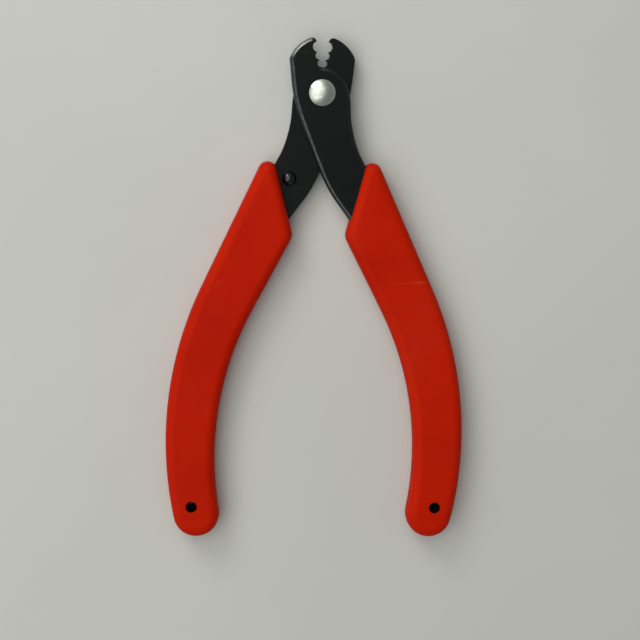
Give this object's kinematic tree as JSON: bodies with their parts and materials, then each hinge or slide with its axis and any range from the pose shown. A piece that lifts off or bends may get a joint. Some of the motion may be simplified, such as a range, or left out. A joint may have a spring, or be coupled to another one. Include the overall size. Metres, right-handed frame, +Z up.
{
  "type": "wire stripper and cutter",
  "caption": "Hand wire stripper and cutter: two riveted stamped steel levers with paired round notches in crossing jaws, moulded grips and a recessed return spring.",
  "frame": {"origin": "on the surface the tool lies on, under the middle of its length and width", "axes": "+Y along the tool from the handle ends to the jaws, +X towards the right-hand grip, +Z up out of the front face"},
  "size_m": [0.0988, 0.1648, 0.01],
  "materials": {
    "lever_steel": "satin black oxide on stamped carbon steel",
    "grip_plastic": "satin red vinyl, moulded on",
    "bright_steel": "plated rivet head, lightly dimpled",
    "washer_steel": "plain zinc plate",
    "black_rivet": "gloss black enamel",
    "spring_steel": "drawn spring wire"
  },
  "bodies": {
    "rear_half": {"rear_lever": "lever_steel", "left_grip": "grip_plastic", "pivot_rivet": "bright_steel", "pivot_washer": "washer_steel", "stop_rivet": "black_rivet", "return_spring": "spring_steel"},
    "front_half": {"front_lever": "lever_steel", "right_grip": "grip_plastic"}
  },
  "joints": [
    {"name": "handle_closing", "type": "hinge", "parent": "rear_half", "child": "front_half", "pos_m": [0, 0.06512, 0.005], "axis": [0, 0, -1], "range_deg": [0, 17.8], "stiffness_Nm_per_rad": 0.23, "deforming": ["return_spring"]}
  ]
}
